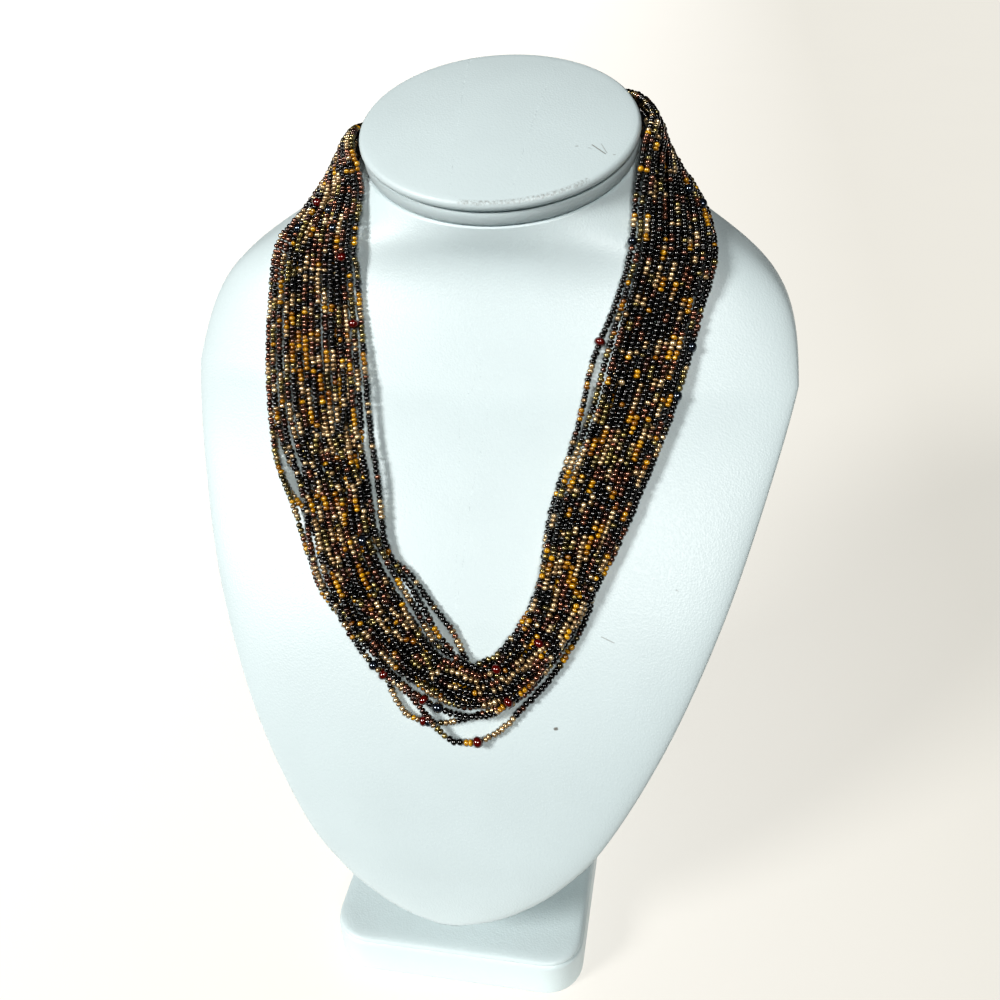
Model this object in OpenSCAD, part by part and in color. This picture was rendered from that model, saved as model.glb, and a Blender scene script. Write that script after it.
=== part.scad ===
// Multi strand seed bead necklace on a covered neck bust with a flat base.
// Millimetres, +Z up, +X to the right of someone who faces the bust, -Y to the front.
// The origin is the middle of the underside of the base.

/* [Base plate] */
// Width of the base plate
base_w = 81; // [74:1:110]
// Depth of the base plate
base_d = 120; // [110:1:140]
// Height of the base plate
base_h = 15.5; // [12:0.5:18]
// Radius of the base plate's upright corners
base_corner_r = 12; // [6:0.5:20]
// Height of the rolled rim above the base plate's seam
base_rim = 2.2; // [1.6:0.1:3]
// Depth of the sewn seam round the base plate
base_seam = 0.8; // [0.4:0.1:1.5]

/* [Column] */
// Width of the column behind the chest
column_w = 52; // [40:1:64]
// Depth of the column
column_d = 42; // [30:1:50]
// How far the column's front lies behind the middle of the base
column_y = 4; // [0:1:10]
// Height of the column's top above the floor
column_top = 165; // [150:1:175]

/* [Chest] */
// Width across the shoulders
chest_w = 192; // [180:1:205]
// Height from the lower tip to the tops of the shoulders
chest_h = 184; // [176:1:192]
// How far the shoulders lie behind the lower tip
chest_lean = 125; // [118:1:132]
// How far the side edges curl back from the middle
chest_bow = 13; // [8:0.5:18]
// Thickness of the chest
chest_t = 11; // [9:0.5:14]
// Height of the lower tip above the floor
tip_z = 30; // [26:1:34]
// How far the lower tip hangs out in front of the base plate
tip_overhang = 1; // [-3:0.5:6]

/* [Neck] */
// Width of the neck under its cap
neck_w = 86; // [82:1:90]
// Depth of the neck under its cap
neck_d = 74; // [70:1:78]
// Forward slope of the cap, in degrees
cap_tilt = 22; // [18:1:26]
// Height of the middle of the cap's seam above the chest's lower tip
cap_rise = 206; // [202:1:210]
// How far the middle of the cap lies behind the chest's lower tip
cap_back = 131; // [127:1:135]
// Height of the band under the cap
band_h = 5; // [3:0.5:8]
// Height of the domed cap at its middle
cap_h = 6.5; // [5:0.5:10]
// Height of the cap's rounded rim
cap_rim = 3.6; // [3:0.1:4.5]
// How far the cap stands out past the neck
cap_lip = 0.4; // [0.2:0.1:1.6]

/* [Strands] */
// Diameter of the small beads
bead_d = 2.1; // [1.8:0.1:2.3]
// Diameter of the larger beads among them
accent_d = 3.6; // [3:0.1:4]
// Width of the band of strands where it is widest
band_w = 34; // [31:0.5:36]
// Thickness of the band of strands where it is thickest
band_t = 8; // [7:0.5:8.5]

/* [Closure] */
// Diameter of the wrapped ends of the band
wrap_d = 8; // [7:0.5:9]
// Diameter of the bare thread behind the neck
thread_d = 1.4; // [1:0.1:2]
// Diameter of the clasp
clasp_d = 4.6; // [4:0.2:5]

/* [Hidden] */

// Clearance between pieces that lie against each other
seat_gap = 0.3;

module rounded_slab(w, d, r, h) {
    linear_extrude(h) union() {
        square([w - 2 * r, d], center = true);
        square([w, d - 2 * r], center = true);
        for (x = [-1, 1], y = [-1, 1])
            translate([x * (w / 2 - r), y * (d / 2 - r)]) circle(r, $fn = 64);
    }
}

// Smooth curve through rows of numbers: each row is one station
function smooth(a, b, c, d, t) =
    0.5 * (2 * b + (c - a) * t + (2 * a - 5 * b + 4 * c - d) * t * t
           + (3 * b - a - 3 * c + d) * t * t * t);
function station(rows, u) =
    let (last = len(rows) - 1, i = min(last - 1, floor(u)))
    smooth(rows[max(0, i - 1)], rows[i], rows[i + 1], rows[min(last, i + 2)], u - i);

// Closed skin over rings of equal length, with a flat face on the first and last
module loft(rings) {
    n = len(rings[0]);
    last = (len(rings) - 1) * n;
    sides = [for (j = [0 : len(rings) - 2], i = [0 : n - 1])
        let (a = j * n + i, b = j * n + (i + 1) % n)
        each [[a, b + n, b], [a, a + n, b + n]]];
    polyhedron(
        points = [for (ring = rings) each ring],
        faces = concat([[for (i = [0 : n - 1]) i]], sides,
                       [[for (i = [n - 1 : -1 : 0]) last + i]]));
}

// Columns: height and front as shares of chest_h and chest_lean, half width and
// curl as shares of chest_w / 2 and chest_bow, thickness as a share of chest_t,
// squareness of the rim, share of the neck, slope as a share of cap_tilt
chest_rows = [
    [0.000, 0.06, 0.000, 0.00, 0.50, 2.5, 0.00, 0.00],
    [0.012, 0.16, 0.002, 0.02, 0.66, 2.8, 0.00, 0.00],
    [0.035, 0.25, 0.007, 0.06, 0.80, 3.2, 0.00, 0.00],
    [0.080, 0.36, 0.019, 0.12, 0.92, 3.6, 0.00, 0.00],
    [0.160, 0.49, 0.049, 0.23, 1.00, 4.0, 0.00, 0.00],
    [0.317, 0.655, 0.134, 0.40, 1.06, 4.0, 0.00, 0.00],
    [0.490, 0.80, 0.278, 0.60, 1.14, 4.0, 0.00, 0.00],
    [0.660, 0.915, 0.473, 0.79, 1.24, 4.0, 0.03, 0.00],
    [0.790, 0.99, 0.658, 0.94, 1.34, 4.0, 0.24, 0.00],
    [0.865, 0.995, 0.770, 1.00, 1.36, 4.0, 0.48, 0.00],
    [0.920, 0.95, 0.850, 1.00, 1.36, 3.8, 0.68, 0.00],
    [0.958, 0.82, 0.910, 0.80, 1.45, 3.5, 0.82, 0.08],
    [0.990, 0.66, 0.970, 0.55, 1.80, 3.0, 0.92, 0.24],
    [1.024, 0.55, 1.020, 0.35, 2.20, 2.4, 0.98, 0.50],
    [1.058, 0.482, 1.060, 0.20, 2.60, 2.0, 1.00, 0.77],
    [1.093, 0.448, 1.100, 0.10, 3.00, 2.0, 1.00, 1.00]];
neck_sides = 64;
rings_per_row = 2;
front_points = 19;
// Half width over which the neck melts into the chest
bell_w = 66;
// Size of the curve in which the neck's front and back run forward below where each
// flare starts: a smaller one bends faster
front_flare = 83;
back_flare = 62.5;
front_flare_drop = 16;
back_flare_rise = 6;
// Share of the curl that the chest's back follows
back_curl = 0.5;
// How far the neck's flare thickens the chest behind the column's top
neck_run = 0.3;

tip_y = -base_d / 2 - tip_overhang;
chest_tip = [0, tip_y, tip_z];
cap_mid = chest_tip + [0, cap_back, cap_rise];
cap_axis = [0, -sin(cap_tilt), cos(cap_tilt)];
neck_top = cap_mid - (band_h + seat_gap) * cap_axis;

// Front and back of the neck at a height, as it runs down into the chest
function neck_front(z) = neck_top[1] - neck_d / 2 * cos(cap_tilt)
    - pow(max(0, neck_top[2] - front_flare_drop - z), 2) / front_flare;
function neck_back(z) = neck_top[1] + neck_d / 2 * cos(cap_tilt)
    - pow(max(0, neck_top[2] + back_flare_rise - z), 2) / back_flare;

function bust_ring(row) =
    let (z0 = tip_z + row[0] * chest_h, w = row[1] * chest_w / 2,
         front = tip_y + row[2] * chest_lean, bow = row[3] * chest_bow,
         t = row[4] * chest_t, n = row[5], a = row[6], slope = row[7] * cap_tilt,
         nf = neck_front(z0), nb = neck_back(z0))
    [for (k = [0 : 2 * front_points + 1])
        let (back = k > front_points + 1,
             q = back ? 2 * front_points + 2 - k : k,
             s = sin(180 * q / (front_points + 1) - 90), x = w * s,
             bell = (1 + cos(180 * min(1, abs(x) / bell_w))) / 2,
             g = a * (1 - (1 - bell) * (1 - a)),
             yf = (1 - g) * (front + bow * s * s) + g * nf,
             yb = (1 - g) * (front + t + back_curl * bow * s * s) + g * nb,
             r = pow(max(0, 1 - pow(abs(s), n)), 1 / n),
             y = (yf + yb) / 2 + (back ? 1 : -1) * r * (yb - yf) / 2)
        [x, y, z0 + (y - neck_top[1]) * tan(slope)]];

module base_plate() {
    rim_z = base_h - base_rim;
    color("white") union() {
        rounded_slab(base_w, base_d, base_corner_r, rim_z - base_seam);
        rounded_slab(base_w - 2 * base_seam, base_d - 2 * base_seam,
                     base_corner_r - base_seam, base_h - base_seam);
        translate([0, 0, rim_z])
            rounded_slab(base_w - base_seam, base_d - base_seam,
                         base_corner_r - base_seam / 2, base_rim);
    }
}

module bust_form() {
    rows = chest_rows;
    color("white") loft([for (j = [0 : rings_per_row * (len(rows) - 1)])
        bust_ring(station(rows, j / rings_per_row))]);
}

// Upright whose leaning face follows the middle of the chest's back
module column() {
    rows = chest_rows;
    stand_off = seat_gap + neck_run + back_curl * chest_bow * pow(column_w / chest_w, 2);
    leaning = [for (j = [0 : rings_per_row * (len(rows) - 1)])
        let (row = station(rows, j / rings_per_row))
        [tip_y + row[2] * chest_lean + row[4] * chest_t + stand_off, tip_z + row[0] * chest_h]];
    color("white") rotate([90, 0, 90])
        linear_extrude(column_w, center = true) intersection() {
            translate([column_y, base_h]) square([column_d, column_top - base_h]);
            polygon(concat([[leaning[0][0], 0]], leaning,
                           [[column_y + 2 * column_d, tip_z + chest_h], [column_y + 2 * column_d, 0]]));
        }
}

// Closed skin over the neck's ellipse: each profile point is a depth radius and a
// height above the seam
module on_neck(profile) {
    loft([for (p = profile)
        [for (i = [0 : neck_sides - 1])
            let (a = 360 * i / neck_sides,
                 x = neck_w / neck_d * p[0] * cos(a), y = p[0] * sin(a))
            cap_mid + [x, y * cos(cap_tilt) - p[1] * sin(cap_tilt),
                       y * sin(cap_tilt) + p[1] * cos(cap_tilt)]]]);
}

module neck_band() {
    r = neck_d / 2;
    bevel = band_h / 8;
    color("white")
        on_neck([[r - bevel, -band_h], [r, bevel - band_h], [r, -bevel], [r - bevel, 0]]);
}

module neck_cap() {
    rim_r = cap_rim / 2;
    inner = neck_d / 2 + cap_lip - rim_r;
    color("white") on_neck(concat(
        [for (a = [-90 : 15 : 75]) [inner + rim_r * cos(a), seat_gap + rim_r * (1 + sin(a))]],
        [for (share = [0.9 : -0.15 : 0.15])
            [inner * share, seat_gap + cap_rim + (cap_h - cap_rim) * (1 - share * share)]]));
}

function unit(v) = v / norm(v);
function outward(azimuth, elevation) =
    [sin(azimuth) * cos(elevation), -cos(azimuth) * cos(elevation), sin(elevation)];
function rounded(x, power) = sign(x) * pow(abs(x), power);

// Route of the band of strands, from its left end round the front to its right end.
// All routes are measured from the chest's lower tip.
// Columns: x, y, z, half width and half thickness as shares of band_w / 2 and
// band_t / 2, azimuth and elevation of the way that its outer face looks
band_route = [
    [-34, 160.8, 195, 0.26, 0.95, -147, 5],
    [-42.3, 154.8, 197.3, 0.38, 0.88, -134, 20],
    [-48.5, 142, 199.5, 0.48, 0.80, -110, 27],
    [-51, 130, 198, 0.62, 0.72, -82, 33],
    [-51, 118, 189.5, 0.77, 0.64, -48, 50],
    [-52.5, 106.5, 182.5, 0.85, 0.60, -24, 45],
    [-54, 102.5, 174, 0.92, 0.57, -11, 28],
    [-54, 97, 163, 0.97, 0.57, -9, 34],
    [-52, 87.5, 152, 1.00, 0.57, -9, 42],
    [-48, 74, 138.5, 1.00, 0.57, -8, 43],
    [-44.5, 65, 129.5, 0.97, 0.60, -8, 43],
    [-39, 55.7, 120, 0.87, 0.60, -7, 40],
    [-34, 45.5, 108, 0.82, 0.62, -6, 38],
    [-26.5, 37.2, 98, 0.81, 0.65, -4, 36],
    [-18.5, 31.5, 90, 0.75, 0.70, -3, 34],
    [-9.5, 26.2, 82.5, 0.65, 0.75, -2, 31],
    [2, 23.5, 78, 0.57, 0.75, -1, 30],
    [10.5, 23.2, 77.5, 0.51, 0.75, 1, 30],
    [19, 26.8, 82.5, 0.46, 0.75, 3, 31],
    [26.5, 32.8, 91.5, 0.45, 0.75, 4, 34],
    [31.5, 40.3, 101.5, 0.50, 0.70, 5, 36],
    [34.5, 48, 110.5, 0.62, 0.64, 7, 40],
    [37.5, 55.9, 119.8, 0.70, 0.62, 7, 40],
    [42.5, 67, 132, 0.72, 0.60, 8, 42],
    [46.5, 78, 143, 0.75, 0.60, 8, 43],
    [50, 90.5, 156, 0.79, 0.60, 9, 40],
    [53, 99.5, 168, 0.78, 0.60, 10, 32],
    [55.5, 104.5, 179, 0.79, 0.62, 18, 37],
    [54.5, 115.5, 186.8, 0.79, 0.65, 39, 47],
    [52, 127, 196.5, 0.72, 0.70, 73, 42],
    [49.5, 137, 201.5, 0.62, 0.74, 97, 26],
    [45.5, 145.5, 204.5, 0.52, 0.80, 115, 13],
    [38.5, 155.2, 206.5, 0.44, 0.87, 134, 2],
    [29, 163.2, 206.5, 0.35, 0.93, 148, -8],
    [19.5, 167, 205.5, 0.26, 0.95, 158, -10]];
rings_per_leg = 3;
band_sides = 14;
// Squareness of the band's section: 1 is an ellipse
band_round = 0.8;

// Points that close the loop behind the neck: wrapped end, clasp, wrapped end
wrap_tip_left = chest_tip + [-26.3, 165.2, 196.5];
clasp_left = chest_tip + [-12, 167, 200];
clasp_right = chest_tip + [2, 168, 203];
wrap_tip_right = chest_tip + [11, 169.3, 204.5];

function route_end(row) = chest_tip + [row[0], row[1], row[2]];
left_end = route_end(band_route[0]);
right_end = route_end(band_route[len(band_route) - 1]);

module bead_bundle() {
    rows = band_route;
    last = len(rows) - 1;
    steps = rings_per_leg * last;
    rings = [for (j = [0 : steps])
        let (u = j / rings_per_leg, row = station(rows, u), h = 0.1,
             along = j == 0 ? left_end - wrap_tip_left
                   : j == steps ? wrap_tip_right - right_end
                   : route_end(station(rows, u + h)) - route_end(station(rows, u - h)),
             dir = unit(along), face = outward(row[5], row[6]),
             side = unit(cross(face, dir)), up = cross(dir, side),
             w = row[3] * band_w / 2, t = row[4] * band_t / 2)
        [for (i = [0 : band_sides - 1]) let (a = 360 * i / band_sides)
            route_end(row) + side * w * rounded(cos(a), band_round)
                           + up * t * rounded(sin(a), band_round)]];
    color("saddlebrown") loft(rings);
}

// Routes of the strands that stand off the band. Columns: x, y, z, and 1 for a larger bead
loop_small_route = [
    [-19.8, 23.2, 74.5, 0], [-18.3, 22.2, 71.5, 0], [-15.3, 20.5, 68, 0], [-11.5, 19, 65.5, 0],
    [-7.5, 17.7, 65, 1], [-3, 18.7, 65.2, 0], [1, 19, 65.8, 0], [5, 19.2, 66.3, 0]];
loop_low_route = [
    [-6.5, 18.2, 69.8, 0], [-4.5, 16.4, 66.8, 0], [-1, 15.7, 63.6, 0], [3.7, 16.8, 62, 0],
    [8.5, 16.3, 62.7, 1], [12.5, 18.2, 63.9, 0], [17, 20, 67, 0], [20.5, 22.1, 70.7, 0],
    [25, 24.9, 75.4, 0], [30, 28.5, 80.7, 0], [34, 32.7, 87, 0], [37.5, 36.7, 92.7, 0],
    [40, 40, 96.7, 0], [42.5, 44.1, 102, 0]];
inner_left_route = [
    [-17, 44.8, 105.5, 0], [-13, 41.5, 101.5, 0], [-8.5, 38.1, 97.1, 0],
    [-4, 35.2, 93.2, 0], [0, 32.8, 89.8, 0], [3.5, 30.7, 86.3, 0]];
inner_right_route = [
    [37.4, 94.2, 159.8, 0], [35.3, 90.8, 156.7, 1], [33.5, 85.3, 149.7, 0],
    [32.5, 78.9, 143.1, 0], [31.3, 72.3, 136.6, 0], [30, 68.5, 132.8, 0]];
strand_sides = 8;

// Radii along the run of a strand where a larger bead sits: offset and radius as
// shares of the larger bead's radius
accent_profile = [[-0.9, 0.45], [-0.6, 0.8], [0, 1], [0.6, 0.8], [0.9, 0.45]];

module strand(route) {
    last = len(route) - 1;
    at = [for (row = route) route_end(row)];
    chest_out = outward(0, 45);
    rings = [for (i = [0 : last])
        let (dir = unit(at[min(last, i + 1)] - at[max(0, i - 1)]),
             side = unit(cross(chest_out, dir)), up = cross(dir, side))
        each [for (step = route[i][3] == 1 ? accent_profile : [[0, bead_d / accent_d]])
            let (centre = at[i] + dir * step[0] * accent_d / 2,
                 r = max(bead_d, step[1] * accent_d) / 2)
            [for (k = [0 : strand_sides - 1]) let (a = 360 * k / strand_sides)
                centre + side * r * cos(a) + up * r * sin(a)]]];
    color("saddlebrown") loft(rings);
}

module loop_small() { strand(loop_small_route); }
module loop_low() { strand(loop_low_route); }
module inner_left() { strand(inner_left_route); }
module inner_right() { strand(inner_right_route); }

// Places children with +Z from one point towards another
module towards(from, to) {
    d = to - from;
    translate(from) rotate([0, acos(d[2] / norm(d)), atan2(d[1], d[0])]) children();
}

// Barrel with rounded ends, clear of its neighbours by the seat gap at both ends
module barrel(from, to, d) {
    len = norm(to - from) - 2 * seat_gap;
    bevel = d / 8;
    towards(from, to) translate([0, 0, seat_gap]) rotate_extrude($fn = 32)
        polygon([[0, 0], [d / 2 - bevel, 0], [d / 2, bevel],
                 [d / 2, len - bevel], [d / 2 - bevel, len], [0, len]]);
}

module end_wrap_left() { color("black") barrel(left_end, wrap_tip_left, wrap_d); }
module end_wrap_right() { color("black") barrel(right_end, wrap_tip_right, wrap_d); }

module back_thread(from, to) {
    end_gap = seat_gap / 3;
    color("black") towards(from, to) translate([0, 0, end_gap])
        cylinder(h = norm(to - from) - 2 * end_gap, d = thread_d, $fn = 16);
}
module back_thread_left() { back_thread(wrap_tip_left, clasp_left); }
module back_thread_right() { back_thread(clasp_right, wrap_tip_right); }

module clasp() { color("silver") barrel(clasp_left, clasp_right, clasp_d); }

base_plate();
column();
bust_form();
neck_band();
neck_cap();
bead_bundle();
loop_small();
loop_low();
inner_left();
inner_right();
end_wrap_left();
end_wrap_right();
back_thread_left();
back_thread_right();
clasp();
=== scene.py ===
"""Looks of a multi strand seed bead necklace on its neck bust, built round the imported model."""

import logging
import math
from dataclasses import dataclass, field
from enum import Enum

import bpy
import numpy as np
from mathutils import Matrix, Vector


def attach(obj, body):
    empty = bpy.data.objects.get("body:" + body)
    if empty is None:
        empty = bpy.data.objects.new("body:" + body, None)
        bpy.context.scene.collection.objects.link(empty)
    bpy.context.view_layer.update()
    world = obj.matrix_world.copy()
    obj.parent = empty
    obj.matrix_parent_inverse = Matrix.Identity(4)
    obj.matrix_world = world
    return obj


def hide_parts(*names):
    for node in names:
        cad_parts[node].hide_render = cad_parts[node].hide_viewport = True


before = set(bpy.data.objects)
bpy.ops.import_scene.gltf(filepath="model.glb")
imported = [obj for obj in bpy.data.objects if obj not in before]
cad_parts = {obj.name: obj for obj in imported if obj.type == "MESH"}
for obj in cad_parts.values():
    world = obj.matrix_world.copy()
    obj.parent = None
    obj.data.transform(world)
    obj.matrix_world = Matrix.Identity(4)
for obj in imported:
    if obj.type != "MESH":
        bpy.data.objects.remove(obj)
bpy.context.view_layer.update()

MM = 0.001
BODY = "root"
# a direction that no thread of the necklace follows
SKEW = np.array([0.31, 0.2, 0.93])
log = logging.getLogger("necklace")


# shapes


def unit(v: np.ndarray) -> np.ndarray:
    """Vectors of length one.

    Args:
        v: Vectors in the last axis.

    Returns:
        The same directions with length one.
    """
    return v / np.maximum(np.linalg.norm(v, axis=-1, keepdims=True), 1e-12)


def around(run: np.ndarray) -> tuple[np.ndarray, np.ndarray]:
    """Two directions at right angles to each run and to each other.

    Args:
        run: Directions of length one, in the last axis.

    Returns:
        The first and the second direction across each run.
    """
    first = unit(np.cross(run, SKEW))
    return first, np.cross(run, first)


def along_rows(rows: np.ndarray, at: np.ndarray) -> np.ndarray:
    """Smooth curve through rows of numbers, as the part's source draws it.

    Args:
        rows: One row per station.
        at: Places along the rows, 0 at the first and n - 1 at the last.

    Returns:
        One interpolated row for each place.
    """
    last = len(rows) - 1
    i = np.clip(np.floor(at).astype(int), 0, last - 1)
    t = (at - i)[:, None]
    a, b = rows[np.maximum(i - 1, 0)], rows[i]
    c, d = rows[i + 1], rows[np.minimum(i + 2, last)]
    return 0.5 * (2 * b + (c - a) * t + (2 * a - 5 * b + 4 * c - d) * t**2
                  + (3 * b - a - 3 * c + d) * t**3)


def tube(line: np.ndarray, radius: float, sides: int) -> np.ndarray:
    """Rings of a round tube along a line.

    Args:
        line: Places along the tube.
        radius: Its radius.
        sides: Points in each ring.

    Returns:
        Rings of points, shape (places, sides, 3).
    """
    first, second = around(unit(np.gradient(line, axis=0)))
    angle = np.arange(sides) * math.tau / sides
    return line[:, None] + radius * (first[:, None] * np.cos(angle)[None, :, None]
                                     + second[:, None] * np.sin(angle)[None, :, None])


def joined(name: str, skins: list[np.ndarray]) -> bpy.types.Mesh:
    """One mesh of several closed skins.

    Args:
        name: Name of the mesh.
        skins: Rings of points of each skin, in millimetres.

    Returns:
        A smooth shaded mesh in metres.
    """
    verts, faces, base = [], [], 0
    for rings in skins:
        count, n = rings.shape[:2]
        j, i = np.meshgrid(np.arange(count - 1), np.arange(n), indexing="ij")
        a, b = base + j * n + i, base + j * n + (i + 1) % n
        faces += np.stack([a, b, b + n, a + n], axis=-1).reshape(-1, 4).tolist()
        faces.append([base + k for k in range(n - 1, -1, -1)])
        faces.append([base + (count - 1) * n + k for k in range(n)])
        verts.append(rings.reshape(-1, 3))
        base += count * n
    mesh = bpy.data.meshes.new(name)
    mesh.from_pydata((np.concatenate(verts) * MM).tolist(), [], faces)
    mesh.polygons.foreach_set("use_smooth", np.ones(len(faces), bool))
    mesh.update()
    return mesh


def add_piece(name: str, mesh: bpy.types.Mesh, nodes: tuple[str, ...],
              materials: list[bpy.types.Material]) -> bpy.types.Object:
    """Puts a piece of the object in the scene.

    Args:
        name: Name of the piece.
        mesh: Its mesh, in place.
        nodes: Part nodes that the piece stands for.
        materials: Its materials, in slot order.

    Returns:
        The new object.
    """
    piece = bpy.data.objects.new(name, mesh)
    bpy.context.scene.collection.objects.link(piece)
    for material in materials:
        mesh.materials.append(material)
    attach(piece, BODY)
    if nodes:
        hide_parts(*nodes)
    return piece


# strands


@dataclass(frozen=True)
class Sections:
    """Cross sections of the band of strands: one entry for each station."""

    at: np.ndarray
    centre: np.ndarray
    side: np.ndarray
    up: np.ndarray
    half_width: np.ndarray
    half_depth: np.ndarray


@dataclass(frozen=True)
class Band:
    """Route of the band of strands, as in the part's source, in millimetres."""

    width: float = 34.0
    depth: float = 8.0
    stations: int = 321
    # x, y, z, half width and half thickness as shares, azimuth and elevation of the outer face
    rows: tuple[tuple[float, ...], ...] = (
        (-34, 99.8, 225, 0.26, 0.95, -147, 5),
        (-42.3, 93.8, 227.3, 0.38, 0.88, -134, 20),
        (-48.5, 81, 229.5, 0.48, 0.80, -110, 27),
        (-51, 69, 228, 0.62, 0.72, -82, 33),
        (-51, 57, 219.5, 0.77, 0.64, -48, 50),
        (-52.5, 45.5, 212.5, 0.85, 0.60, -24, 45),
        (-54, 41.5, 204, 0.92, 0.57, -11, 28),
        (-54, 36, 193, 0.97, 0.57, -9, 34),
        (-52, 26.5, 182, 1.00, 0.57, -9, 42),
        (-48, 13, 168.5, 1.00, 0.57, -8, 43),
        (-44.5, 4, 159.5, 0.97, 0.60, -8, 43),
        (-39, -5.3, 150, 0.87, 0.60, -7, 40),
        (-34, -15.5, 138, 0.82, 0.62, -6, 38),
        (-26.5, -23.8, 128, 0.81, 0.65, -4, 36),
        (-18.5, -29.5, 120, 0.75, 0.70, -3, 34),
        (-9.5, -34.8, 112.5, 0.65, 0.75, -2, 31),
        (2, -37.5, 108, 0.57, 0.75, -1, 30),
        (10.5, -37.8, 107.5, 0.51, 0.75, 1, 30),
        (19, -34.2, 112.5, 0.46, 0.75, 3, 31),
        (26.5, -28.2, 121.5, 0.45, 0.75, 4, 34),
        (31.5, -20.7, 131.5, 0.50, 0.70, 5, 36),
        (34.5, -13, 140.5, 0.62, 0.64, 7, 40),
        (37.5, -5.1, 149.8, 0.70, 0.62, 7, 40),
        (42.5, 6, 162, 0.72, 0.60, 8, 42),
        (46.5, 17, 173, 0.75, 0.60, 8, 43),
        (50, 29.5, 186, 0.79, 0.60, 9, 40),
        (53, 38.5, 198, 0.78, 0.60, 10, 32),
        (55.5, 43.5, 209, 0.79, 0.62, 18, 37),
        (54.5, 54.5, 216.8, 0.79, 0.65, 39, 47),
        (52, 66, 226.5, 0.72, 0.70, 73, 42),
        (49.5, 76, 231.5, 0.62, 0.74, 97, 26),
        (45.5, 84.5, 234.5, 0.52, 0.80, 115, 13),
        (38.5, 94.2, 236.5, 0.44, 0.87, 134, 2),
        (29, 102.2, 236.5, 0.35, 0.93, 148, -8),
        (19.5, 106, 235.5, 0.26, 0.95, 158, -10),
    )

    def sections(self) -> Sections:
        """Works out the cross sections.

        Returns:
            Evenly numbered sections from the left end to the right end.
        """
        rows = np.array(self.rows, float)
        at = np.linspace(0, len(rows) - 1, self.stations)
        values = along_rows(rows, at)
        step = 0.1
        last = len(rows) - 1
        ahead = along_rows(rows, np.minimum(at + step, last))[:, :3]
        behind = along_rows(rows, np.maximum(at - step, 0))[:, :3]
        run = unit(ahead - behind)
        azimuth, elevation = np.radians(values[:, 5]), np.radians(values[:, 6])
        face = np.stack([np.sin(azimuth) * np.cos(elevation),
                         -np.cos(azimuth) * np.cos(elevation), np.sin(elevation)], axis=-1)
        side = unit(np.cross(face, run))
        return Sections(at, values[:, :3], side, np.cross(run, side),
                        values[:, 3] * self.width / 2, values[:, 4] * self.depth / 2)


@dataclass(frozen=True)
class Stray:
    """Stretch where a strand leaves the band: which one, the nodes it stands for, its points."""

    strand: int
    nodes: tuple[str, ...]
    points: tuple[tuple[float, float, float], ...]


STRAYS = (
    Stray(0, (), (
        (-65, 11.9, 162.1), (-62.6, 8.5, 158.8), (-59.8, 2.9, 153.3), (-56.9, -1.9, 148.2),
        (-51.6, -5.6, 144.8))),
    Stray(1, (), (
        (-50.1, -10.5, 139.1), (-46.7, -14.7, 134.3), (-44, -18.6, 129.3), (-40, -22.6, 124.6),
        (-33.1, -27.1, 119.1), (-26.1, -29.9, 115.5), (-23.2, -32.4, 111.7))),
    Stray(1, ("loop_small",), (
        (-19.8, -37.8, 104.5), (-18.3, -38.8, 101.5), (-15.3, -40.5, 98), (-11.5, -42, 95.5),
        (-7.5, -43.3, 95), (-3, -42.3, 95.2), (1, -42, 95.8), (5, -41.8, 96.3))),
    Stray(2, ("loop_low",), (
        (-6.5, -42.8, 99.8), (-4.5, -44.6, 96.8), (-1, -45.3, 93.6), (3.7, -44.2, 92),
        (8.5, -44.7, 92.7), (12.5, -42.8, 93.9), (17, -41, 97), (20.5, -38.9, 100.7),
        (25, -36.1, 105.4), (30, -32.5, 110.7), (34, -28.3, 117), (37.5, -24.3, 122.7),
        (40, -21, 126.7), (42.5, -16.9, 132))),
    Stray(20, ("inner_left",), (
        (-17, -16.2, 135.5), (-13, -19.5, 131.5), (-8.5, -22.9, 127.1), (-4, -25.8, 123.2),
        (0, -28.2, 119.8), (3.5, -30.3, 116.3))),
    Stray(21, ("inner_right",), (
        (21.3, -23.6, 125.5), (23.8, -20.2, 129.9), (24.6, -16.4, 134.9), (24.9, -11.4, 141.3),
        (25.3, -7.4, 146.2), (26.6, -3.3, 151.2), (28.9, 3.9, 158.9), (30, 7.5, 162.8),
        (31.3, 11.3, 166.6), (32.5, 17.9, 173.1), (33.5, 24.3, 179.7), (35.3, 29.8, 186.7),
        (37.4, 33.2, 189.8))),
)


class BeadFinish(Enum):
    """Finishes of the glass beads, in the order of the strands' material slots."""

    BLACK = 0
    GOLD = 1
    AMBER = 2
    BRONZE = 3
    OLIVE = 4
    GUNMETAL = 5
    GARNET = 6
    BROWN = 7


@dataclass(frozen=True)
class Bead:
    """Form of one kind of bead in millimetres: a thick ring that is closed round its thread."""

    diameter: float
    length: float
    sides: int
    # place along the thread and radius, as shares of half the length and half the diameter
    profile: tuple[tuple[float, float], ...]


SEED = Bead(2.1, 1.46, 10, ((-0.97, 0.42), (-0.66, 0.84), (0, 1), (0.66, 0.84), (0.97, 0.42)))
LARGE = Bead(3.6, 2.9, 16, ((-0.99, 0.2), (-0.92, 0.42), (-0.75, 0.68), (-0.45, 0.9), (0, 1),
                            (0.45, 0.9), (0.75, 0.68), (0.92, 0.42), (0.99, 0.2)))


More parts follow.
